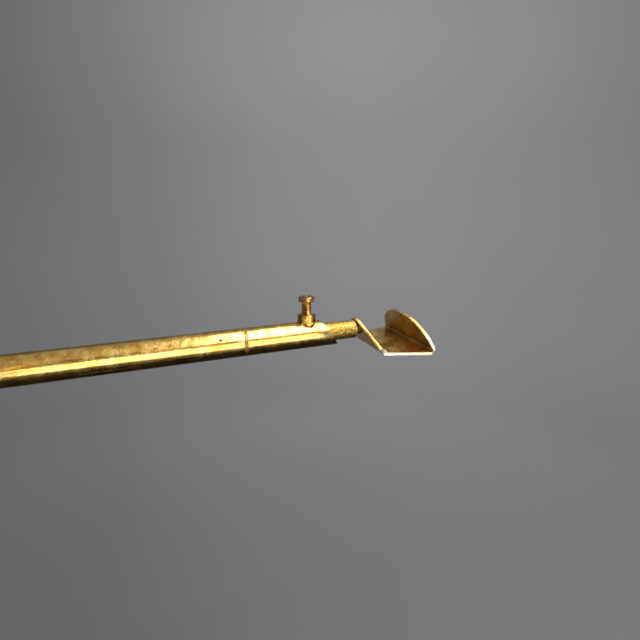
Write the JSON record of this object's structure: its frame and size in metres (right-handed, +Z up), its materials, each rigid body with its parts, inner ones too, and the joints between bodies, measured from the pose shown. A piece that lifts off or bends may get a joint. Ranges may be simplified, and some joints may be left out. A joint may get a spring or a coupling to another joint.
{
  "type": "music stand",
  "caption": "Free-standing brass music stand on a tripod, with a telescoping mast, forward reach arms that end in folded sheet ledges, and a leaning back-rest bar.",
  "frame": {"origin": "on the floor under the column, at the middle of the footprint", "axes": "+Z up the mast, -Y towards the reader, +X to the reader's right"},
  "size_m": [0.4112, 0.471, 1.2071],
  "materials": {
    "gilt_tube": "polished and lacquered, fine pitting",
    "gilt_sheet": "polished sheet, brushed inside, bright cut edges",
    "gilt_hardware": "polished, deeper gold",
    "drawn_rod": "drawn, scuffed",
    "turned_brass": "turned and polished",
    "steel_pin": "dull, sunk below the surface",
    "foot_rubber": "matt moulded"
  },
  "bodies": {
    "base": {"base_hub": "turned_brass", "leg_rear": "gilt_tube", "leg_left": "gilt_tube", "leg_right": "gilt_tube", "foot_rear": "foot_rubber", "foot_left": "foot_rubber", "foot_right": "foot_rubber", "leg_screws": "gilt_hardware", "column_tube": "gilt_tube", "column_plug": "turned_brass", "column_socket": "gilt_tube", "column_nut": "gilt_hardware"},
    "column_screw": {"column_screw": "gilt_hardware"},
    "mast_stop": {"mast_stop": "turned_brass"},
    "mast": {"mast_tube": "gilt_tube", "mast_plug": "turned_brass", "rest_tee": "turned_brass", "rest_tee_screw": "gilt_hardware", "rest_tube": "gilt_tube", "rest_cap": "turned_brass", "rest_pin": "steel_pin", "rest_ring": "gilt_tube", "rest_socket": "gilt_tube", "rest_nut": "gilt_hardware"},
    "head": {"head_block": "turned_brass", "head_nut": "gilt_hardware", "cross_tube": "gilt_tube", "left_elbow": "turned_brass", "right_elbow": "turned_brass", "left_arm_tube": "gilt_tube", "left_arm_pin": "steel_pin", "left_arm_ring": "gilt_tube", "left_arm_socket": "gilt_tube", "left_arm_nut": "gilt_hardware", "right_arm_tube": "gilt_tube", "right_arm_pin": "steel_pin", "right_arm_ring": "gilt_tube", "right_arm_socket": "gilt_tube", "right_arm_nut": "gilt_hardware"},
    "head_screw": {"head_screw": "gilt_hardware"},
    "rest_screw": {"rest_screw": "gilt_hardware"},
    "rest_stop": {"rest_rod_stop": "turned_brass"},
    "rest": {"rest_rod": "drawn_rod", "rest_bar": "gilt_sheet"},
    "left_screw": {"left_arm_screw": "gilt_hardware"},
    "left_stop": {"left_rod_stop": "turned_brass"},
    "left_ledge": {"left_ledge_rod": "drawn_rod", "left_ledge_plate": "gilt_sheet"},
    "right_screw": {"right_arm_screw": "gilt_hardware"},
    "right_stop": {"right_rod_stop": "turned_brass"},
    "right_ledge": {"right_ledge_rod": "drawn_rod", "right_ledge_plate": "gilt_sheet"}
  },
  "joints": [
    {"name": "mast_height", "type": "slide", "parent": "base", "child": "mast_stop", "axis": [0, 0, 1], "range_m": [-0.15, 0.13]},
    {"name": "mast_turn", "type": "hinge", "parent": "mast_stop", "child": "mast", "pos_m": [0, 0, 0.466], "axis": [0, 0, 1], "range_deg": [-180, 180]},
    {"name": "head_height", "type": "slide", "parent": "mast", "child": "head", "axis": [0, 0, 1], "range_m": [-0.08, 0.06]},
    {"name": "rest_reach", "type": "slide", "parent": "mast", "child": "rest_stop", "axis": [0, -1, 0], "range_m": [-0.005, 0.06]},
    {"name": "rest_turn", "type": "hinge", "parent": "rest_stop", "child": "rest", "pos_m": [0, -0.048, 1.18697], "axis": [0, -1, 0], "range_deg": [-180, 180]},
    {"name": "column_screw_turn", "type": "hinge", "parent": "base", "child": "column_screw", "pos_m": [0, 0.02, 0.664], "axis": [0, 1, 0], "range_deg": [0, 720]},
    {"name": "head_screw_turn", "type": "hinge", "parent": "head", "child": "head_screw", "pos_m": [0, 0.02, 0.95], "axis": [0, 1, 0], "range_deg": [0, 720]},
    {"name": "rest_screw_turn", "type": "hinge", "parent": "mast", "child": "rest_screw", "pos_m": [0, -0.048, 1.20197], "axis": [0, 0, 1], "range_deg": [0, 720]},
    {"name": "left_reach", "type": "slide", "parent": "head", "child": "left_stop", "axis": [0, -1, 0], "range_m": [-0.005, 0.06]},
    {"name": "left_ledge_turn", "type": "hinge", "parent": "left_stop", "child": "left_ledge", "pos_m": [-0.15, -0.174, 0.95], "axis": [0, -1, 0], "range_deg": [-180, 180]},
    {"name": "left_screw_turn", "type": "hinge", "parent": "head", "child": "left_screw", "pos_m": [-0.15, -0.174, 0.965], "axis": [0, 0, 1], "range_deg": [0, 720]},
    {"name": "right_reach", "type": "slide", "parent": "head", "child": "right_stop", "axis": [0, -1, 0], "range_m": [-0.005, 0.06]},
    {"name": "right_ledge_turn", "type": "hinge", "parent": "right_stop", "child": "right_ledge", "pos_m": [0.15, -0.174, 0.95], "axis": [0, -1, 0], "range_deg": [-180, 180]},
    {"name": "right_screw_turn", "type": "hinge", "parent": "head", "child": "right_screw", "pos_m": [0.15, -0.174, 0.965], "axis": [0, 0, 1], "range_deg": [0, 720]}
  ]
}
